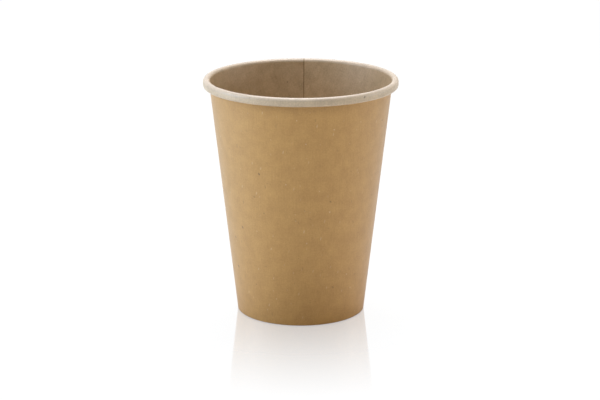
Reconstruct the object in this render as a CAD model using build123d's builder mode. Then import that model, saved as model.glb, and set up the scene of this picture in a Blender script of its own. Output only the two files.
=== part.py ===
from build123d import *
import os
from math import asin, atan2, cos, degrees, sin

# A single-wall paper cup: a sheet of board wrapped into a cone, lapped at the side, rolled out at the rim and
# folded in at the foot, where it grips the skirt of a recessed base disc.
# +Z is up along the cup's axis, and the origin is the centre of the ring that the cup stands on.

# Driving sizes, in millimetres and degrees

RIM_DIAMETER = 90.0  # over the rolled rim
CUP_HEIGHT = 110.4  # from the standing ring to the top of the rim
BASE_DIAMETER = 59.2  # over the wall, where its line meets the table

WALL_BOARD = 0.42  # thickness of the sidewall's board
BASE_BOARD = 0.42  # thickness of the base disc's board

ROLL_RADIUS = 1.6  # upper bend of the rolled rim, outside
ROLL_FLAT = 1.2  # height of the pressed flat round the rim's outside
ROLL_GAP = 0.1  # between the seam's outer ply and the rim's tucked edge
ROLL_STEPS = 3  # straight steps that each quarter of the roll is drawn with

BASE_RECESS = 7.5  # from the table to the underside of the base disc
BASE_BEND = 0.95  # bend from the disc to its skirt, outside
SEAL_GAP = 0.05  # film of sealant on each side of the skirt
SKIRT_CLEARANCE = 0.4  # from the skirt's cut edge to the fold below it
FOLD_RADIUS = 0.14  # bends of the fold at the foot, inside
FOLD_STEPS = 2  # straight steps that each bend of the fold and of the base disc is drawn with
HEM_CLEARANCE = 1.3  # from the hem's cut edge to the underside of the disc

SEAM_ANGLE = 87.7  # where the inner ply's cut edge lies, from +X
SEAM_LAP = 12.5  # angle that the two plies share
CLIMB_ANGLE = 9.0  # angle over which the outer ply climbs onto the inner one
CLIMB_SECTIONS = 5  # sections that shape that climb
CLIMB_START = 0.06  # how far under the wall's faces the climb starts
SEAM_BLEND = 1.0  # height over which the seam is pressed flat at each end
SEAM_MARGIN = 0.3  # bare board left between the seam's ends and the disc, the fold and the rim

# The wall's line, worked out from the rim, the height and the foot

roll_centre = Vector(RIM_DIAMETER / 2 - ROLL_RADIUS, CUP_HEIGHT - ROLL_RADIUS)
foot = Vector(BASE_DIAMETER / 2, 0)
reach = roll_centre - foot
taper = atan2(reach.X, reach.Y) - asin((ROLL_RADIUS - WALL_BOARD) / reach.length)
taper_angle = degrees(taper)
up_wall = Vector(sin(taper), cos(taper))
off_wall = Vector(cos(taper), -sin(taper))


def on_wall(travel, depth):
    """Point of the wall's section: travel up the wall from the foot, depth out from the board's inside face."""
    return foot + up_wall * travel + off_wall * (depth - WALL_BOARD)


def travel_at(height, depth):
    """Travel up the wall at which the line of that depth passes that height."""
    return (height + (depth - WALL_BOARD) * sin(taper)) / cos(taper)


# The rolled rim: an upper bend, a flat, and a lower bend that brings the edge back along the wall

tuck_depth = 2 * WALL_BOARD + ROLL_GAP
lower_roll_radius = ROLL_RADIUS - (tuck_depth - ROLL_FLAT * sin(taper)) / (1 + cos(taper))
lower_roll_centre = roll_centre + Vector(ROLL_RADIUS - lower_roll_radius, -ROLL_FLAT)
rim_underside = lower_roll_centre.Y - lower_roll_radius
roll_travel = reach.dot(up_wall)

# The fold and the hem: two small bends with a flat between them, which is the ring that the cup stands on

fold_travel = (FOLD_RADIUS + WALL_BOARD) * (1 - sin(taper)) / cos(taper)
fold_flat = (BASE_BOARD + 2 * SEAL_GAP - 2 * FOLD_RADIUS) / cos(taper)
outer_fold_centre = on_wall(fold_travel, -FOLD_RADIUS)
inner_fold_centre = outer_fold_centre - Vector(fold_flat, 0)
hem_length = (BASE_RECESS - HEM_CLEARANCE - inner_fold_centre.Y) / cos(taper)

# The base disc's levels and the centre of its bend

disc_top = BASE_RECESS + BASE_BOARD
skirt_end = WALL_BOARD + SKIRT_CLEARANCE
base_bend_depth = -SEAL_GAP - BASE_BEND
base_bend_centre = on_wall(travel_at(disc_top - BASE_BEND, base_bend_depth), base_bend_depth)

# The travels between which each face of the sheet steps at the seam

seam_top = roll_travel - SEAM_MARGIN
inside_seam = (travel_at(disc_top + SEAM_MARGIN, 0), seam_top)
outside_seam = (fold_travel + SEAM_MARGIN, seam_top)


def bend(centre, radius, start_angle, end_angle, steps):
    """Points at even angles along an arc about the centre."""
    turn = (end_angle - start_angle) / steps
    return [centre + Vector(radius, 0).rotate(Axis.Z, start_angle + turn * step) for step in range(steps + 1)]


def sheet_points(depth):
    """One face of the sheet in section, from the hem's cut edge through the fold, the wall and the rim's roll."""
    fold = FOLD_RADIUS + depth
    upper_roll = ROLL_RADIUS - depth
    lower_roll = lower_roll_radius - depth
    return [
        inner_fold_centre - off_wall * fold + up_wall * hem_length,
        *bend(inner_fold_centre, fold, -180 - taper_angle, -90, FOLD_STEPS),
        *bend(outer_fold_centre, fold, -90, -taper_angle, FOLD_STEPS),
        *bend(roll_centre, upper_roll, 180 - taper_angle, 90, ROLL_STEPS),
        *bend(roll_centre, upper_roll, 90, 0, ROLL_STEPS)[1:],
        *bend(lower_roll_centre, lower_roll, 0, -90, ROLL_STEPS),
        *bend(lower_roll_centre, lower_roll, -90, -180 - taper_angle, ROLL_STEPS)[1:],
    ]


def disc_points(depth):
    """One face of the base disc in section, from the axis over the bend to the skirt's cut edge."""
    skirt_depth = -SEAL_GAP - depth
    return [
        Vector(0, disc_top - depth),
        *bend(base_bend_centre, BASE_BEND - depth, 90, -taper_angle, FOLD_STEPS),
        on_wall(travel_at(skirt_end, skirt_depth), skirt_depth),
    ]


def axial_plane(angle):
    """Half-plane through the cup's axis, with local X outwards and local Y up."""
    return Plane(
        origin=(0, 0, 0),
        x_dir=Vector(1, 0, 0).rotate(Axis.Z, angle),
        z_dir=Vector(0, -1, 0).rotate(Axis.Z, angle),
    )


def outline(angle, points):
    """Closed sketch through the points of a section at that angle."""
    with BuildSketch(axial_plane(angle)) as section:
        with BuildLine():
            Polyline(*points, close=True)
        make_face()
    return section.sketch


def seam_section(angle, inner_depth, outer_depth, seam):
    """Sketch across the wall at that angle, between two depths and two travels, with slanted ends."""
    low, high = seam
    corners = [
        on_wall(low, inner_depth),
        on_wall(low + SEAM_BLEND, outer_depth),
        on_wall(high - SEAM_BLEND, outer_depth),
        on_wall(high, inner_depth),
    ]
    return outline(angle, corners)


def climb_sections(inner_depth, face_depth, seam):
    """Sections under a face of the outer ply as it climbs, in an S, from the wall's line to the inner ply's back."""
    sections = []
    for step in range(CLIMB_SECTIONS):
        share = step / (CLIMB_SECTIONS - 1)
        lift = (WALL_BOARD + CLIMB_START) * share**2 * (3 - 2 * share) - CLIMB_START
        angle = SEAM_ANGLE + CLIMB_ANGLE * (1 - share)
        sections.append(seam_section(angle, inner_depth, face_depth + lift, seam))
    return sections


# Sidewall: the sheet turned round the axis, then its seam, where the outer ply climbs and lies on the inner one,
# and the inner ply ends in a cut edge inside the cup

mid_board = WALL_BOARD / 2
sheet = outline(0, sheet_points(0) + sheet_points(WALL_BOARD)[::-1])
outer_ply = seam_section(SEAM_ANGLE - SEAM_LAP, mid_board, 2 * WALL_BOARD, outside_seam)
outside_climb = climb_sections(mid_board, WALL_BOARD, outside_seam)
inside_climb = climb_sections(-mid_board, 0, inside_seam)

with BuildPart() as sidewall:
    revolve(sheet, axis=Axis.Z)
    revolve(outer_ply, axis=Axis.Z, revolution_arc=SEAM_LAP)
    loft(outside_climb, ruled=True)
    loft(inside_climb, ruled=True, mode=Mode.SUBTRACT)
sidewall.part.label = "sidewall"

# Base disc: flat board whose edge is bent down into a skirt that follows the wall

disc = outline(0, disc_points(0) + disc_points(BASE_BOARD)[::-1])

with BuildPart() as base_disc:
    revolve(disc, axis=Axis.Z)
base_disc.part.label = "base_disc"

os.makedirs("parts", exist_ok=True)
export_step(sidewall.part, "parts/sidewall.step")
export_step(base_disc.part, "parts/base_disc.step")

print(f"wall taper {taper_angle:.2f} deg, rim underside at {rim_underside:.2f}, rim bends {ROLL_RADIUS} and")
print(f"{lower_roll_radius:.2f}, standing ring {fold_flat:.2f} wide about radius {outer_fold_centre.X:.2f}")
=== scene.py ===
# %% [markdown]
# # A bamboo-fibre coffee cup
# The cup is two pieces of unbleached board: a sheet wrapped into a cone, with its top edge rolled out
# into the rim and its bottom edge folded in, and a round floor that the fold grips. The solids of both
# are loaded first, so that every surface made below lands where the real piece is, in metres.

# %% Load the cup's solids
import bpy
import numpy as np
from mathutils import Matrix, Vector


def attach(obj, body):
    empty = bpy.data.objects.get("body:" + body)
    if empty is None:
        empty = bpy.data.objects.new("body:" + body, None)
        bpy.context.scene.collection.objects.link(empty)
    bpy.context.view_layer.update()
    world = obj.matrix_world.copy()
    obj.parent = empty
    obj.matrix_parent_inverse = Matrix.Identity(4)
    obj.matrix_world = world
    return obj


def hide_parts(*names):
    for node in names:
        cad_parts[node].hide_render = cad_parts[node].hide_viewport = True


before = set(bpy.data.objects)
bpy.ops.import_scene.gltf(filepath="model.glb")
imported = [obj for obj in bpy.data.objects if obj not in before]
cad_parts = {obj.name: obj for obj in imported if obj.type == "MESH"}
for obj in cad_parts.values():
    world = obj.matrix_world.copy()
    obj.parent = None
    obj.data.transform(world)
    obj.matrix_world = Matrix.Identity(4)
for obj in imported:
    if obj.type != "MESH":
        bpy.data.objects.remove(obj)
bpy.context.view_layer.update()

# %% [markdown]
# ## The line of the wall
# A paper cup is set out from a few sizes: the rim, the height, the foot and the board's thickness. The
# wall's slope follows from them, because the wall has to run tangent into the rolled rim. Sizes are in
# millimetres here and become metres when a mesh is made. Two unit vectors do most of the work: one runs
# up the wall, one points out of it.

# %% Sizes of the cup
RIM_RADIUS, CUP_HEIGHT, FOOT_RADIUS = 45.0, 110.4, 29.6
BOARD = 0.42
ROLL_RADIUS, ROLL_FLAT, ROLL_GAP = 1.6, 1.2, 0.1

roll_centre = np.array([RIM_RADIUS - ROLL_RADIUS, CUP_HEIGHT - ROLL_RADIUS])
foot = np.array([FOOT_RADIUS, 0.0])
reach = roll_centre - foot
taper = np.arctan2(reach[0], reach[1]) - np.arcsin((ROLL_RADIUS - BOARD) / np.linalg.norm(reach))
taper_angle = np.degrees(taper)
up_wall = np.array([np.sin(taper), np.cos(taper)])
off_wall = np.array([np.cos(taper), -np.sin(taper)])
print(f"the wall leans out by {taper_angle:.2f} degrees")


# %% Points of the section
def on_wall(travel, depth):
    """Points of the wall's section: foot + travel up the wall + depth out of it, from the inside face."""
    return foot + np.multiply.outer(travel, up_wall) + np.multiply.outer(depth - BOARD, off_wall)


def travel_at(height, depth):
    """Travel up the wall at which the line of that depth passes that height."""
    return (height + (depth - BOARD) * np.sin(taper)) / np.cos(taper)


def bend(centre, radius, start, end, steps):
    """Points of an arc: centre + radius times (cos, sin) of evenly spaced angles, in degrees."""
    angle = np.radians(np.linspace(start, end, steps + 1))
    return centre + radius * np.stack([np.cos(angle), np.sin(angle)], axis=1)


halfway = on_wall(travel_at(CUP_HEIGHT / 2, BOARD), BOARD)
print("radius and height of the outside, halfway up:", halfway.round(2))

# %% [markdown]
# ## The sheet in section
# Cut through one side, the board is a long line: up the hem, round the fold that the cup stands on, up
# the wall and round the roll of the rim. Each face of the board is that same line at its own depth, so
# one function draws both. At the side seam the wall is two boards thick, so every point also carries a
# weight that says how much it may be lifted there: all of it along the wall, none in the roll and the
# fold, where the tools press the seam flat.

# %% Bends and lengths of the sheet
BASE_RECESS, SEAL_GAP = 7.5, 0.05
FOLD_RADIUS, HEM_CLEARANCE = 0.14, 1.3
SEAM_BLEND, SEAM_MARGIN = 1.0, 0.3

lower_radius = ROLL_RADIUS - (2 * BOARD + ROLL_GAP - ROLL_FLAT * np.sin(taper)) / (1 + np.cos(taper))
lower_centre = roll_centre + [ROLL_RADIUS - lower_radius, -ROLL_FLAT]
roll_travel = reach @ up_wall
fold_travel = (FOLD_RADIUS + BOARD) * (1 - np.sin(taper)) / np.cos(taper)
fold_flat = (BOARD + 2 * SEAL_GAP - 2 * FOLD_RADIUS) / np.cos(taper)
outer_fold = on_wall(fold_travel, -FOLD_RADIUS)
inner_fold = outer_fold - [fold_flat, 0]
hem_length = (BASE_RECESS - HEM_CLEARANCE - inner_fold[1]) / np.cos(taper)
disc_top = BASE_RECESS + BOARD
seam_top = roll_travel - SEAM_MARGIN
seam_foot_inside = travel_at(disc_top + SEAM_MARGIN, 0.0)
seam_foot_outside = fold_travel + SEAM_MARGIN
print(f"rim bends of {ROLL_RADIUS} and {lower_radius:.2f} mm, hem of {hem_length:.2f} mm")

# %% One face of the sheet
HEM_POINTS, FOLD_STEPS, WALL_POINTS, ROLL_STEPS = 8, 6, 40, 20


def sheet_face(depth, seam_foot):
    """Section of one face of the sheet as (points, travel along that face, seam weight).

    The line is the hem, two bends of the fold, the wall, and the two bends of the roll, joined end to end.
    Travel is the length along it, zero where the fold ends. The weight rises from 0 to 1 over the blend at
    each end of the seam.
    """
    fold = FOLD_RADIUS + depth
    up_hem = np.multiply.outer(np.linspace(hem_length, 0, HEM_POINTS), up_wall)
    hem = inner_fold - off_wall * fold + up_hem
    inner_bend = bend(inner_fold, fold, -180 - taper_angle, -90, FOLD_STEPS)[1:]
    outer_bend = bend(outer_fold, fold, -90, -taper_angle, FOLD_STEPS)
    blend_ends = [seam_foot, seam_foot + SEAM_BLEND, seam_top - SEAM_BLEND, seam_top]
    even_travel = np.linspace(fold_travel, roll_travel, WALL_POINTS)[1:]
    wall_travel = np.sort(np.concatenate([even_travel, blend_ends]))
    wall = on_wall(wall_travel, np.full_like(wall_travel, depth))
    upper_roll = bend(roll_centre, ROLL_RADIUS - depth, 180 - taper_angle, 0, ROLL_STEPS)[1:]
    lower_roll = bend(lower_centre, lower_radius - depth, 0, -180 - taper_angle, ROLL_STEPS)
    points = np.concatenate([hem, inner_bend, outer_bend, wall, upper_roll, lower_roll])

    above_foot = np.clip((wall_travel - seam_foot) / SEAM_BLEND, 0, 1)
    below_top = np.clip((seam_top - wall_travel) / SEAM_BLEND, 0, 1)
    first = len(hem) + len(inner_bend) + len(outer_bend)
    weight = np.zeros(len(points))
    weight[first : first + len(wall)] = above_foot * below_top
    along = np.concatenate([[0], np.cumsum(np.linalg.norm(np.diff(points, axis=0), axis=1))])
    return points, along - along[first - 1], weight


inside, inside_travel, inside_weight = sheet_face(0.0, seam_foot_inside)
outside, outside_travel, outside_weight = sheet_face(BOARD, seam_foot_outside)
print(f"{len(inside)} points a face, {np.ptp(inside_travel):.1f} mm of board from edge to edge")

# %% [markdown]
# ## Round the cup, with its seam
# The section is carried round the axis. The board's two ends lap at the back: the inner ply stops in a
# cut edge inside the mouth, beside which a fine dark line of painted crevice shade is laid, and the outer
# ply climbs over it in a flat S. The climb is a lift of the wall that depends on the angle alone, so the
# whole sheet is one grid: section points by angles, closed both ways round. Where an edge was cut, two
# neighbouring angles lie almost on each other, and the quads between them are that edge.

# %% Angles and lifts
SEAM_ANGLE, SEAM_LAP, CLIMB_ANGLE, CLIMB_START = 87.7, 12.5, 9.0, 0.06
CUT_ANGLE, PAST_CUT = 0.02, 0.5
LAP_POINTS, CLIMB_POINTS, ROUND_POINTS = 14, 18, 340

seam_end = SEAM_ANGLE - SEAM_LAP
climb_foot = SEAM_ANGLE + CLIMB_ANGLE
angles = np.concatenate(
    [
        [seam_end - CUT_ANGLE],
        np.linspace(seam_end, SEAM_ANGLE, LAP_POINTS),
        [SEAM_ANGLE + CUT_ANGLE],
        np.linspace(SEAM_ANGLE + PAST_CUT, climb_foot, CLIMB_POINTS),
        np.linspace(climb_foot, seam_end - CUT_ANGLE + 360, ROUND_POINTS)[1:-1],
    ]
)
share = np.clip((climb_foot - angles) / CLIMB_ANGLE, 0, 1)
climb = np.maximum((BOARD + CLIMB_START) * share**2 * (3 - 2 * share) - CLIMB_START, 0)
inside_lift = np.where(angles > SEAM_ANGLE, climb, 0)
outside_lift = np.where(angles >= seam_end, climb, 0)
print(f"{len(angles)} angles, the outer ply is lifted by up to {outside_lift.max():.2f} mm")


# %% Carry the section round
def carried_round(points, weight, lift):
    """Grid of a face: the section + weight times lift out of the wall, turned about the axis by angle."""
    section = points[:, None, :] + (weight[:, None] * lift)[..., None] * off_wall
    radius, height = section[..., 0], section[..., 1]
    turn = np.radians(angles)
    return np.stack([radius * np.cos(turn), radius * np.sin(turn), height], axis=2)


inside_grid = carried_round(inside, inside_weight, inside_lift)
outside_grid = carried_round(outside, outside_weight, outside_lift)
grid = np.concatenate([inside_grid, outside_grid[::-1]])
rows, columns = grid.shape[:2]
print(f"the sheet's grid has {rows} rows and {columns} columns")

# %% Quads of the sheet
row = np.arange(rows)[:, None]
column = np.arange(columns)[None, :]
next_row = (row + 1) % rows
next_column = (column + 1) % columns
near_side = (row * columns + column, next_row * columns + column)
far_side = (next_row * columns + next_column, row * columns + next_column)
quads = np.stack(np.broadcast_arrays(*near_side, *far_side), axis=2)
print("quads:", quads.shape[0] * quads.shape[1])

# %% [markdown]
# ## The flat blank
# Before it was wrapped, the board was a flat fan, with its fibres all lying one way, as they left the
# paper machine. A fibre pattern that follows the cone round would look combed, so each point also gets
# its place in that flat fan: a distance from the cone's tip and an angle shrunk by the sine of the taper.
# That pair is the sheet's UV map. The blank is cut at the seam, so each quad has corners of its own
# there.

# %% Where each point lay in the blank
BLANK_SIDE = 300.0
FRONT_ANGLE = 270.0
tip = FOOT_RADIUS / np.sin(taper)


def in_blank(travel, angle):
    """Flat place of a point: (tip + travel) times (sin, cos) of angle times sin(taper), scaled to 0..1."""
    fan = np.radians(angle - FRONT_ANGLE) * np.sin(taper)
    far = tip + travel
    return np.stack([far * np.sin(fan), far * np.cos(fan) - tip], axis=-1) / BLANK_SIDE + 0.5


is_inside = row < rows // 2
travel = np.concatenate([inside_travel, outside_travel[::-1]])
from_angle = np.where(is_inside & (angles <= SEAM_ANGLE), angles + 360, angles)
to_angle = from_angle + np.append(np.diff(angles), 360 + angles[0] - angles[-1])
near_travel = np.broadcast_to(travel[:, None], from_angle.shape)
far_travel = np.broadcast_to(travel[next_row], from_angle.shape)
corner_travel = np.stack([near_travel, far_travel, far_travel, near_travel], axis=2)
corner_angle = np.stack([from_angle, from_angle, to_angle, to_angle], axis=2)
blank_uv = in_blank(corner_travel, corner_angle)
print("blank reaches from", blank_uv.reshape(-1, 2).min(0), "to", blank_uv.reshape(-1, 2).max(0))

# %% [markdown]
# ## Which face is which
# The outside of the board is brown kraft and the inside is a paler, greyer lining. Because the rim is
# rolled outwards, it is the lining that shows on it. Each quad of the grid therefore knows its paper:
# lining, kraft or a cut edge. The cut edges are the roll's and the hem's ends and the two steps of the
# seam. Inside the mouth a strip of the dark cut-edge paper beside the inner ply's edge is painted shade of
# the crevice there, and it runs on over the roll to its crest, where the plies are pressed flat.

# %% Paper of each quad
LINING, KRAFT, CUT_EDGE_AND_SEAM_SHADE = 0, 1, 2
paper = np.where(is_inside, LINING, KRAFT) + np.zeros_like(column)
paper[[rows // 2 - 1, rows - 1]] = CUT_EDGE_AND_SEAM_SHADE
lifted = np.concatenate([inside_weight, outside_weight[::-1]]) > 0
paper[lifted & ~is_inside[:, 0], 0] = CUT_EDGE_AND_SEAM_SHADE
seam_column = np.argmin(abs(angles - SEAM_ANGLE))
crest_travel = inside_travel[np.argmax(inside[:, 1])]
seam_shade_rows = is_inside[:, 0] & (travel > seam_foot_inside) & (travel < crest_travel)
# Beside the inner ply's cut edge, and on over the roll to the crest where no step is left, these quads
# take the dark cut-edge paper: painted shade of the crevice at the seam.
paper[seam_shade_rows, seam_column : seam_column + 2] = CUT_EDGE_AND_SEAM_SHADE
print("quads of lining, kraft and cut edge:", np.bincount(paper.ravel()))

# %% Make the wall
SHARP_ANGLE = 40


def mesh_piece(name, vertices, faces, uv, face_paper):
    """Object from arrays: vertices in mm, faces as vertex numbers, a UV a corner and a paper a face."""
    mesh = bpy.data.meshes.new(name)
    mesh.from_pydata(np.asarray(vertices) / 1000, [], faces)
    mesh.uv_layers.new(name="blank").uv.foreach_set("vector", np.asarray(uv, dtype=np.float32).ravel())
    mesh.polygons.foreach_set("material_index", np.asarray(face_paper, dtype=np.int32).ravel())
    mesh.polygons.foreach_set("use_smooth", np.ones(len(mesh.polygons), dtype=bool))
    mesh.set_sharp_from_angle(angle=np.radians(SHARP_ANGLE))
    mesh.validate()
    piece = bpy.data.objects.new(name, mesh)
    bpy.context.collection.objects.link(piece)
    print(name, len(mesh.vertices), "vertices,", len(mesh.polygons), "faces")
    return piece


cup_wall = mesh_piece("cup_wall", grid.reshape(-1, 3), quads.reshape(-1, 4).tolist(), blank_uv, paper)

# %% [markdown]
# ## The floor of the cup
# The floor is a disc of the same board whose edge is turned down into a skirt, between the wall and the
# hem. It is a profile turned about the axis, with a single point at the middle of each face, so its grid
# is closed by two fans of triangles.

# %% Section of the floor
BASE_BEND, SKIRT_CLEARANCE = 0.95, 0.4
HUB_RADIUS = 2.0
FLAT_POINTS, BEND_STEPS, SKIRT_POINTS = 12, 8, 6

bend_depth = -SEAL_GAP - BASE_BEND
bend_centre = on_wall(travel_at(disc_top - BASE_BEND, bend_depth), bend_depth)


def disc_face(depth):
    """Section of one face of the floor: a flat from near the axis, an arc, and the skirt along the wall."""
    bent = bend(bend_centre, BASE_BEND - depth, 90, -taper_angle, BEND_STEPS)
    flat_radius = np.linspace(HUB_RADIUS, bent[0, 0], FLAT_POINTS)[:-1]
    flat = np.stack([flat_radius, np.full_like(flat_radius, disc_top - depth)], axis=1)
    skirt_depth = -SEAL_GAP - depth
    skirt_foot = travel_at(BOARD + SKIRT_CLEARANCE, skirt_depth)
    skirt_head = (bent[-1] - foot) @ up_wall
    skirt_travel = np.linspace(skirt_head, skirt_foot, SKIRT_POINTS)[1:]
    return np.concatenate([flat, bent, on_wall(skirt_travel, np.full_like(skirt_travel, skirt_depth))])


top_face, under_face = disc_face(0.0), disc_face(BOARD)
profile = np.concatenate([top_face, under_face[::-1]])
print(f"floor {2 * profile[:, 0].max():.1f} mm across, skirt down to {profile[:, 1].min():.2f} mm")

# %% Turn the floor
TURN_STEP = 1.5
turns = np.radians(np.arange(0, 360, TURN_STEP))
radius, height = profile[:, 0], profile[:, 1:]
disc_grid = np.stack(
    [
        np.multiply.outer(radius, np.cos(turns)),
        np.multiply.outer(radius, np.sin(turns)),
        np.broadcast_to(height, (len(profile), len(turns))),
    ],
    axis=2,
)
disc_points = np.concatenate([disc_grid.reshape(-1, 3), [[0, 0, disc_top], [0, 0, BASE_RECESS]]])
print("points of the floor:", len(disc_points))

# %% Close the floor
count = len(turns)
ring = np.arange(count)
next_ring = (ring + 1) % count
first = np.arange(len(profile) - 1)[:, None] * count
bands = np.stack([first + ring, first + count + ring, first + count + next_ring, first + next_ring], axis=2)
last = (len(profile) - 1) * count
top_pole, under_pole = len(profile) * count, len(profile) * count + 1
top_fan = np.stack([np.full(count, top_pole), ring, next_ring], axis=1)
under_fan = np.stack([np.full(count, under_pole), last + next_ring, last + ring], axis=1)
disc_faces = bands.reshape(-1, 4).tolist() + top_fan.tolist() + under_fan.tolist()
disc_corners = np.concatenate([bands.ravel(), top_fan.ravel(), under_fan.ravel()])
disc_uv = disc_points[disc_corners, :2] / BLANK_SIDE + 0.5
disc_paper = np.full(len(disc_faces), LINING)
skirt_edge = (len(top_face) - 1) * count
disc_paper[skirt_edge : skirt_edge + count] = CUT_EDGE_AND_SEAM_SHADE
cup_floor = mesh_piece("cup_floor", disc_points, disc_faces, disc_uv, disc_paper)

# %% [markdown]
# ## Do the faces point outwards?
# A closed surface whose faces all point outwards has a positive volume when it is summed from the origin,
# one tetrahedron a triangle. That one number catches a grid that was wound the wrong way round.


# %% Check the winding
def enclosed(piece):
    """Signed volume in cubic centimetres: a sixth of the sum of a . (b x c) over the triangles."""
    piece.data.calc_loop_triangles()
    corners = np.zeros(len(piece.data.loop_triangles) * 3, dtype=np.int32)
    piece.data.loop_triangles.foreach_get("vertices", corners)
    places = np.zeros(len(piece.data.vertices) * 3)
    piece.data.vertices.foreach_get("co", places)
    a, b, c = places.reshape(-1, 3)[corners.reshape(-1, 3)].transpose(1, 0, 2)
    return (a * np.cross(b, c)).sum() / 6 * 1e6


for piece in (cup_wall, cup_floor):
    if enclosed(piece) < 0:
        piece.data.flip_normals()
    print(piece.name, f"encloses {enclosed(piece):.2f} cm3 of board")

# %% [markdown]
# ## Colours and nodes
# Colours are written as the hex values that a colour picker shows. A shader needs them linear, so one
# function converts them. Another small function adds a node: it sets the node's options, fills its
# sockets and makes its links. With those two, a finish can be read from top to bottom like a recipe.


# %% Colours and nodes
def linear(hex_colour):
    """RGBA for a shader from sRGB hex: c / 12.92 up to 0.04045, else ((c + 0.055) / 1.055) ** 2.4."""
    c = np.array([int(hex_colour[i : i + 2], 16) for i in (1, 3, 5)]) / 255
    return (*np.where(c <= 0.04045, c / 12.92, ((c + 0.055) / 1.055) ** 2.4), 1.0)


def add(tree, kind, sockets, **options):
    """Adds a node, sets its options, and fills each named or numbered socket with a value or a link."""
    made = tree.nodes.new(kind)
    for option, value in options.items():
        setattr(made, option, value)
    for socket, value in sockets.items():
        if isinstance(value, bpy.types.NodeSocket):
            tree.links.new(value, made.inputs[socket])
        else:
            made.inputs[socket].default_value = value
    return made


def new_material(name):
    """An empty node material, as (material, tree, output node)."""
    material = bpy.data.materials.new(name)
    material.use_nodes = True
    material.node_tree.nodes.clear()
    return material, material.node_tree, add(material.node_tree, "ShaderNodeOutputMaterial", {})


print("the middle grey #808080 is", round(float(linear("#808080")[0]), 3), "in linear light")

# %% [markdown]
# ## Marks in the pulp
# Unbleached pulp keeps traces of the plant: dark slivers of bark, called shives, and fibre bundles that
# show as short dashes along the machine's direction. They are sparse, so noise can't draw them. A Voronoi
# pattern can: it drops one seed in each cell, the cell's random colour decides whether the seed becomes a
# mark, and stretching the cells makes a dash of it. The sizes are in millimetres, because the coordinates
# are.

# %% A sprinkle of marks
# A row for each kind of mark: its cell across and along in mm, the cell's turn in radians, the mark's
# radius in cells, the share of cells that hold one, the colour that it takes on, and how much of it.
MARKS = (
    ((4.5, 15.0), 0.12, 0.08, 0.8, "#7a5a34", 0.45),
    ((4.2, 13.0), -0.2, 0.08, 0.8, "#ead4b0", 0.35),
    ((5.0, 12.0), 1.3, 0.07, 0.6, "#7a5a34", 0.35),
    ((7.0, 9.0), 0.3, 0.06, 0.7, "#efdcbc", 0.4),
    ((9.0, 14.0), 0.7, 0.07, 0.5, "#4a3319", 0.65),
)
FAINTEST_MARK = 0.25


def sprinkle(tree, place, cell, turn, radius, share):
    """Mask of marks: 2 (size - distance to the seed) / radius, clipped to 0..1, times the mark's strength.

    The size rises from 0 to radius with a random number of the cell, over the share of cells that hold a
    mark. The strength rises from the faintest to 1 with another.
    """
    stretched = {"Vector": place, "Rotation": (0, 0, turn), "Scale": (*cell, 1)}
    cells = add(tree, "ShaderNodeMapping", stretched, vector_type="TEXTURE").outputs[0]
    scattered = {"Vector": cells, "Scale": 1.0}
    seeds = add(tree, "ShaderNodeTexVoronoi", scattered, voronoi_dimensions="2D").outputs
    luck = add(tree, "ShaderNodeSeparateColor", {"Color": seeds["Color"]}).outputs
    lucky = {"Value": luck[0], "From Min": 1 - share, "To Min": 0.0, "To Max": radius}
    size = add(tree, "ShaderNodeMapRange", lucky).outputs[0]
    within = add(tree, "ShaderNodeMath", {0: size, 1: seeds["Distance"]}, operation="SUBTRACT").outputs[0]
    soften = {0: within, 1: 2 / radius}
    soft = add(tree, "ShaderNodeMath", soften, operation="MULTIPLY", use_clamp=True).outputs[0]
    faint_to_full = {"Value": luck[1], "To Min": FAINTEST_MARK, "To Max": 1.0}
    strength = add(tree, "ShaderNodeMapRange", faint_to_full).outputs[0]
    return add(tree, "ShaderNodeMath", {0: soft, 1: strength}, operation="MULTIPLY").outputs[0]


print(len(MARKS), "kinds of mark, up to", max(2 * mark[0][1] * mark[2] for mark in MARKS), "mm long")

# %% [markdown]
# ## Fibres and clouds
# Paper is fibres laid along the machine's direction, with a cloudy tone where they lie thicker, which
# papermakers call formation. A real fibre is about 0.03 mm wide, too fine for this picture, so the
# streaks are drawn 0.6 mm wide. Three noises added up give the tone: clouds, streaks and a fine grain.
# The same tone later drives the colour, the roughness and the bump, so that they agree.

# %% Tone of the paper
CLOUD_SIZE, GRAIN_SIZE = 6.0, 0.8
STREAK_SIZE = (0.6, 7.0)
CLOUDS, STREAKS, GRAIN, TONE_START = 0.7, 0.3, 0.6, -0.3
NOISE_ROUGHNESS = 0.6


def fibre_tone(tree, place):
    """Tone from dark at 0 to pale at 1: 0.7 clouds + 0.3 streaks + 0.6 grain - 0.3, each a noise in mm."""
    lengthwise = {"Vector": place, "Scale": (*STREAK_SIZE, 1)}
    along = add(tree, "ShaderNodeMapping", lengthwise, vector_type="TEXTURE").outputs["Vector"]
    # A row for each noise: where it is read, its scale, its detail and its amount.
    noises = (
        (place, 1 / CLOUD_SIZE, 3.0, CLOUDS),
        (along, 1.0, 2.0, STREAKS),
        (place, 1 / GRAIN_SIZE, 2.0, GRAIN),
    )
    tone = TONE_START
    for vector, scale, detail, amount in noises:
        sockets = {"Vector": vector, "Scale": scale, "Detail": detail, "Roughness": NOISE_ROUGHNESS}
        noise = add(tree, "ShaderNodeTexNoise", sockets, noise_dimensions="2D").outputs[0]
        added = {0: noise, 1: amount, 2: tone}
        tone = add(tree, "ShaderNodeMath", added, operation="MULTIPLY_ADD").outputs[0]
    return tone


print("clouds", CLOUD_SIZE, "mm, streaks", STREAK_SIZE, "mm, grain", GRAIN_SIZE, "mm")

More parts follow.
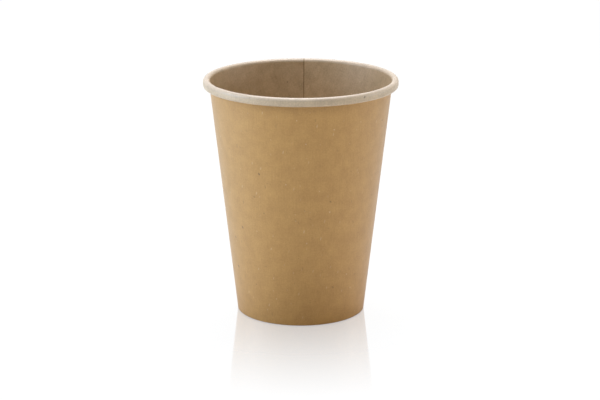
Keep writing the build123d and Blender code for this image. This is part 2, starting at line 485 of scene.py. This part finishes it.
# %% [markdown]
# ## What the rolling does to the board, and light painted on the rim
# The rim was drawn over a hot tool. That burnishes it, so past the end of the wall the board turns paler
# and smoother. That paler colour is only partly the burnish: it also makes the outer band of the roll a
# lit copy of the lining, whose own colours inside the mouth are kept darker as painted shade. Over the
# crest of the roll the film on the lining is stretched most and turns a little milk-white, and that white
# is also a painted highlight of the bright room that the crest reflects. Both depend on the distance
# along the board alone, which in the flat blank is the distance from the cone's tip.

# %% Rim and crest
RIM_STARTS, RIM_FULL = 2.5, 4.5
MILKY_HIGHLIGHT_FULL, MILKY_HIGHLIGHT_ENDS = 0.8, 2.6


def rim_and_crest(tree, place, highlight_milkiness):
    """Two masks: 0 to 1 from where the rim starts, and highlight_milkiness to 0 off the crest, a painted
    highlight.
    """
    far = add(tree, "ShaderNodeVectorMath", {0: place}, operation="LENGTH").outputs["Value"]
    wall_end = tip + roll_travel
    rolled = {"Value": far, "From Min": wall_end + RIM_STARTS, "From Max": wall_end + RIM_FULL}
    on_rim = add(tree, "ShaderNodeMapRange", rolled).outputs[0]
    to_crest = {0: far, 1: tip + crest_travel}
    past_crest = add(tree, "ShaderNodeMath", to_crest, operation="SUBTRACT").outputs[0]
    off_crest = add(tree, "ShaderNodeMath", {0: past_crest}, operation="ABSOLUTE").outputs[0]
    milky_highlight_range = {"From Min": MILKY_HIGHLIGHT_FULL, "From Max": MILKY_HIGHLIGHT_ENDS, "To Min": highlight_milkiness, "To Max": 0.0}
    milky_highlight = add(tree, "ShaderNodeMapRange", {"Value": off_crest, **milky_highlight_range}).outputs[0]
    return on_rim, milky_highlight


print(f"the crest is {crest_travel - roll_travel:.2f} mm of board past the end of the wall")

# %% [markdown]
# ## Unbleached board
# All the papers of the cup are made in one way, so one function builds them and each gets its own colours
# and gloss. The tone runs between a dark and a pale colour. Over that lie, one upon the other, the rim
# with a pair of colours of its own, partly painted light, the milk-white film with its painted highlight
# and the marks. Where the tone is dark the fibres lie open and matt, where it is pale they lie flat.

# %% Colour of the board
# A milk-white laid over the crest: partly the stretched film, partly a painted highlight of the bright
# room that the crest reflects.
MILKY_FILM_AND_HIGHLIGHT = "#bcbbbb"


def board_colour(tree, place, tone, on_rim, milky_highlight, tone_pairs):
    """Colour: the board's dark to pale by tone, then each layer mixed over it by how much that covers."""
    colours = []
    for dark, pale in tone_pairs:
        tones = {0: tone, 6: linear(dark), 7: linear(pale)}
        colours.append(add(tree, "ShaderNodeMix", tones, data_type="RGBA").outputs[2])
    colour, rim_colour = colours
    layers = [(on_rim, rim_colour), (milky_highlight, linear(MILKY_FILM_AND_HIGHLIGHT))]
    for cell, turn, radius, share, tint, amount in MARKS:
        mask = sprinkle(tree, place, cell, turn, radius, share)
        mark = add(tree, "ShaderNodeMath", {0: mask, 1: amount}, operation="MULTIPLY").outputs[0]
        layers.append((mark, linear(tint)))
    for cover, over in layers:
        covered = {0: cover, 6: colour, 7: over}
        colour = add(tree, "ShaderNodeMix", covered, data_type="RGBA").outputs[2]
    return colour


print("layers over the plain board:", 2 + len(MARKS))

# %% Roughness of the board
RIM_BURNISH = 0.75
ROUGHNESS_SPREAD = 0.06


def board_roughness(tree, tone, on_rim, roughness):
    """Roughness: it falls from + to - the spread as the tone rises, and is burnished down on the rim."""
    matt_to_flat = {
        "Value": tone,
        "To Min": roughness + ROUGHNESS_SPREAD,
        "To Max": roughness - ROUGHNESS_SPREAD,
    }
    matt = add(tree, "ShaderNodeMapRange", matt_to_flat).outputs[0]
    burnished = {"Value": on_rim, "To Min": 1.0, "To Max": RIM_BURNISH}
    burnish = add(tree, "ShaderNodeMapRange", burnished).outputs[0]
    return add(tree, "ShaderNodeMath", {0: matt, 1: burnish}, operation="MULTIPLY").outputs[0]


print("the rim is burnished to", RIM_BURNISH, "of the wall's roughness")

# %% Board with fibres
FIBRE_HEIGHT, FIBRE_RELIEF = 0.00006, 0.5
SHEEN_ROUGHNESS = 0.45


def fibre_board(name, board_tones, rim_tones, roughness, specular, sheen, highlight_milkiness):
    """Paper on the flat blank in mm from the cone's tip: its tone drives colour, roughness and bump."""
    material, tree, output = new_material(name)
    flat = add(tree, "ShaderNodeUVMap", {}, uv_map="blank").outputs["UV"]
    from_tip = (-BLANK_SIDE / 2, tip - BLANK_SIDE / 2, 0)
    in_mm = {"Vector": flat, "Scale": (BLANK_SIDE, BLANK_SIDE, 1), "Location": from_tip}
    place = add(tree, "ShaderNodeMapping", in_mm).outputs["Vector"]
    tone = fibre_tone(tree, place)
    on_rim, milky_highlight = rim_and_crest(tree, place, highlight_milkiness)
    relief = {"Height": tone, "Strength": FIBRE_RELIEF, "Distance": FIBRE_HEIGHT}
    finish = {
        "Base Color": board_colour(tree, place, tone, on_rim, milky_highlight, (board_tones, rim_tones)),
        "Roughness": board_roughness(tree, tone, on_rim, roughness),
        "Specular IOR Level": specular,
        "Sheen Weight": sheen,
        "Sheen Roughness": SHEEN_ROUGHNESS,
        "Normal": add(tree, "ShaderNodeBump", relief).outputs[0],
    }
    shader = add(tree, "ShaderNodeBsdfPrincipled", finish)
    tree.links.new(shader.outputs[0], output.inputs["Surface"])
    print(name, "has", len(tree.nodes), "nodes")
    return material


# %% The cup's papers
# Unbleached kraft, machine-finished: matt, with fibre ends that catch grazing light as a faint white bloom.
KRAFT_TONES = ("#af8244", "#cfa15b")
kraft_board = fibre_board(
    "unbleached_kraft_board",
    KRAFT_TONES,
    KRAFT_TONES,
    roughness=0.5,
    specular=0.6,
    sheen=0.32,
    highlight_milkiness=0.0,
)
# Bamboo-pulp board under a thin clear film: greyer, and smooth enough to hold a soft highlight on the rim.
# The lining's tones are kept darker than the rim's: inside the mouth that is painted shade, and the  rim's
# paler pair is partly a lit copy. The crest's milk-white is partly film, partly a painted highlight.
LINING_TONES, RIM_TONES = ("#99825f", "#ceb08b"), ("#b09d82", "#e3cbaa")
bamboo_board = fibre_board(
    "film_coated_bamboo_board",
    LINING_TONES,
    RIM_TONES,
    roughness=0.46,
    specular=0.55,
    sheen=0.0,
    highlight_milkiness=0.4,
)
# Raw cut edge: loose core fibres with no film, darker because they trap light; by the seam, painted shade.
CUT_EDGE_AND_SEAM_SHADE_TONES = ("#6b5336", "#957850")
cut_edge_and_seam_shade_board = fibre_board(
    "raw_cut_edge_and_seam_shade",
    CUT_EDGE_AND_SEAM_SHADE_TONES,
    CUT_EDGE_AND_SEAM_SHADE_TONES,
    roughness=0.85,
    specular=0.2,
    sheen=0.0,
    highlight_milkiness=0.0,
)

# %% Dress the two pieces
for piece in (cup_wall, cup_floor):
    for material in (bamboo_board, kraft_board, cut_edge_and_seam_shade_board):
        piece.data.materials.append(material)
    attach(piece, "root")
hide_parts("sidewall")
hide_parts("base_disc")
print("papers:", [material.name for material in cup_wall.data.materials])

# %% [markdown]
# ## The table
# The cup stands on a white gloss sheet. Its picture in the sheet is clear at the foot and fades out
# within 110 mm. A mirror, mixed into a white table by its distance from the foot, gives that fade from
# every side. The mirror shows to the camera alone, so for light bouncing off the sheet near the foot its
# colour is browned instead, a painted reflection of the wall's brown that keeps the foot warm. To the
# camera the table glows as well, a little more further out, so that the open part of it is white while
# the shadow under the foot stays. Gloss and glass see that glow too, but less of it the nearer the foot
# is, where they show the shadow.

# %% Lay the table
TABLE_HALF = 4.0
UNDER_FOOT = 0.00005
table_mesh = bpy.data.meshes.new("white_table")
corners = np.array([(-1, -1, 0), (1, -1, 0), (1, 1, 0), (-1, 1, 0)]) * TABLE_HALF
table_mesh.from_pydata(corners, [], [(0, 1, 2, 3)])
table = bpy.data.objects.new("white_table", table_mesh)
bpy.context.collection.objects.link(table)
table.location.z = -UNDER_FOOT
print("table laid", 2 * TABLE_HALF, "m wide")

# %% Gloss round the foot
GLOSS_REACH, GLOSS_SHARE, GLOSS_FALL = 0.110, 0.44, 1.42


def seeing_rays(tree):
    """Two masks of the rays that see and don't light: 1 for the camera's, and 1 for gloss and glass."""
    rays = add(tree, "ShaderNodeLightPath", {}).outputs
    gloss_or_glass = {0: rays["Is Glossy Ray"], 1: rays["Is Transmission Ray"]}
    reflected = add(tree, "ShaderNodeMath", gloss_or_glass, operation="MAXIMUM").outputs[0]
    return rays["Is Camera Ray"], reflected


# Polished white acrylic: it shows the foot clearly and the rest of the cup as a pale ghost.
table_material, tree, output = new_material("white_gloss_sheet")
to_camera, reflected = seeing_rays(tree)
spot = add(tree, "ShaderNodeTexCoord", {}).outputs["Object"]
away = add(tree, "ShaderNodeVectorMath", {0: spot}, operation="LENGTH").outputs["Value"]
foot_edge = FOOT_RADIUS / 1000
gloss_range = {"From Min": foot_edge, "From Max": foot_edge + GLOSS_REACH, "To Min": 1.0, "To Max": 0.0}
near = add(tree, "ShaderNodeMapRange", {"Value": away, **gloss_range}).outputs[0]
faded = add(tree, "ShaderNodeMath", {0: near, 1: GLOSS_FALL}, operation="POWER").outputs[0]
glossy = add(tree, "ShaderNodeMath", {0: faded, 1: GLOSS_SHARE}, operation="MULTIPLY").outputs[0]
mirror_share = add(tree, "ShaderNodeMath", {0: glossy, 1: to_camera}, operation="MULTIPLY").outputs[0]
print("the table's gloss fades out", GLOSS_REACH, "m from the foot")

# %% Glow of the open table
GLOW_NEAR, GLOW_FAR = 0.9, 1.0
GLOW_RISES, GLOW_FULL = 0.4, 2.0

opened = add(tree, "ShaderNodeMath", {0: 1.0, 1: near}, operation="SUBTRACT").outputs[0]
in_gloss = add(tree, "ShaderNodeMath", {0: reflected, 1: opened}, operation="MULTIPLY").outputs[0]
glow_seen = add(tree, "ShaderNodeMath", {0: to_camera, 1: in_gloss}, operation="MAXIMUM").outputs[0]
glow_range = {"From Min": GLOW_RISES, "From Max": GLOW_FULL, "To Min": GLOW_NEAR, "To Max": GLOW_FAR}
white_level = add(tree, "ShaderNodeMapRange", {"Value": away, **glow_range}).outputs[0]
glow = add(tree, "ShaderNodeMath", {0: glow_seen, 1: white_level}, operation="MULTIPLY").outputs[0]
print("the table glows at", GLOW_NEAR, "near the cup and at", GLOW_FAR, "far out")

# %% White gloss sheet
GLOSS_BLUR = 0.06
SHEET_WHITE, SHEET_PAINTED_REFLECTION, SHEET_AGLOW = "#dcdcdc", "#cda98a", "#595959"

# Browned near the foot for the light that the sheet throws back: a painted reflection of the wall.
thrown = {0: glossy, 6: linear(SHEET_WHITE), 7: linear(SHEET_PAINTED_REFLECTION)}
thrown_back = add(tree, "ShaderNodeMix", thrown, data_type="RGBA").outputs[2]
whites = {0: glow_seen, 6: thrown_back, 7: linear(SHEET_AGLOW)}
white = add(tree, "ShaderNodeMix", whites, data_type="RGBA").outputs[2]
sheet = add(tree, "ShaderNodeBsdfDiffuse", {"Color": white}).outputs[0]
glowing = add(tree, "ShaderNodeEmission", {"Strength": glow}).outputs[0]
open_table = add(tree, "ShaderNodeAddShader", {0: sheet, 1: glowing}).outputs[0]
mirror = add(tree, "ShaderNodeBsdfGlossy", {"Color": (1, 1, 1, 1), "Roughness": GLOSS_BLUR}).outputs[0]
gloss_sheet = add(tree, "ShaderNodeMixShader", {0: mirror_share, 1: open_table, 2: mirror}).outputs[0]
tree.links.new(gloss_sheet, output.inputs["Surface"])
table_mesh.materials.append(table_material)
print(table_material.name, "has", len(tree.nodes), "nodes")

# %% [markdown]
# ## Light
# The cup stands in a white room under one overhead panel. The wall leans outwards, so the overhead panel
# can't reach it: it is lit by what the table throws back and by two side panels, which give it its bright
# edges. The left one is stronger and slightly cool. A small panel close in front hangs above the rim, so
# the rim throws a soft shadow on the wall just below it, and the panel's light falls off towards the
# foot. The room itself only fills a little. The camera and the gloss see it as plain white.

# %% The room
ROOM_LEVEL = 0.1
world = bpy.data.worlds.new("white_room")
bpy.context.scene.world = world
world.use_nodes = True
tree = world.node_tree
tree.nodes.clear()
to_camera, reflected = seeing_rays(tree)
shown = add(tree, "ShaderNodeMath", {0: to_camera, 1: reflected}, operation="MAXIMUM").outputs[0]
level = add(tree, "ShaderNodeMapRange", {"Value": shown, "To Min": ROOM_LEVEL, "To Max": 1.0}).outputs[0]
room = add(tree, "ShaderNodeBackground", {"Color": (1, 1, 1, 1), "Strength": level}).outputs[0]
add(tree, "ShaderNodeOutputWorld", {"Surface": room})
print("the room lights the cup at", ROOM_LEVEL, "of the white that it shows")

# %% The panels
PANEL_AIM = (0, 0, 0.06)


def turn_to(thing, aim):
    """Turns a lamp or camera so that its -Z looks at aim and its Y is up."""
    thing.rotation_euler = (Vector(aim) - thing.location).to_track_quat("-Z", "Y").to_euler()


def light_panel(name, place, size, watts, tint):
    """A soft rectangular panel at place, facing the cup, in metres and watts, with its light's tint."""
    lamp = bpy.data.lights.new(name, "AREA")
    lamp.shape, lamp.energy, lamp.color = "RECTANGLE", watts, linear(tint)[:3]
    lamp.size, lamp.size_y = size
    panel = bpy.data.objects.new(name, lamp)
    panel.location = place
    panel.visible_camera = False
    turn_to(panel, PANEL_AIM)
    bpy.context.collection.objects.link(panel)


light_panel("overhead_panel", place=(0.0, 0.36, 1.01), size=(0.6, 0.7), watts=13.5, tint="#ffffff")
light_panel("left_panel", place=(-0.68, -0.07, 0.29), size=(0.5, 0.6), watts=4.3, tint="#d2e6ff")
light_panel("right_panel", place=(0.85, 0.05, 0.17), size=(0.6, 0.28), watts=2.0, tint="#ffffff")
light_panel("front_panel", place=(0.0, -0.42, 0.52), size=(0.4, 0.25), watts=0.87, tint="#ffffff")

# %% [markdown]
# ## The camera
# The photograph was taken about a metre away through a long lens, from 15 degrees above the table. Those
# numbers were solved from the outlines of the rim, the wall and the foot, so the render lands on the
# photograph's frame. A long lens keeps the rim and the foot in true proportion.

# %% Place the camera
DISTANCE, ELEVATION, AIM_HEIGHT = 1.0, np.radians(15.25), 0.055
LENS, SENSOR = 128.64, 36.0
SHIFT_RIGHT, SHIFT_UP = -0.0013, -0.0106

lens = bpy.data.cameras.new("portrait_lens")
lens.sensor_width, lens.lens = SENSOR, LENS
lens.shift_x, lens.shift_y = SHIFT_RIGHT, SHIFT_UP
camera = bpy.data.objects.new("portrait_camera", lens)
camera.location = (0, -DISTANCE * np.cos(ELEVATION), AIM_HEIGHT + DISTANCE * np.sin(ELEVATION))
turn_to(camera, (0, 0, AIM_HEIGHT))
bpy.context.collection.objects.link(camera)
bpy.context.scene.camera = camera
bpy.context.scene.view_settings.view_transform = "Standard"
print("camera at", tuple(round(v, 3) for v in camera.location))
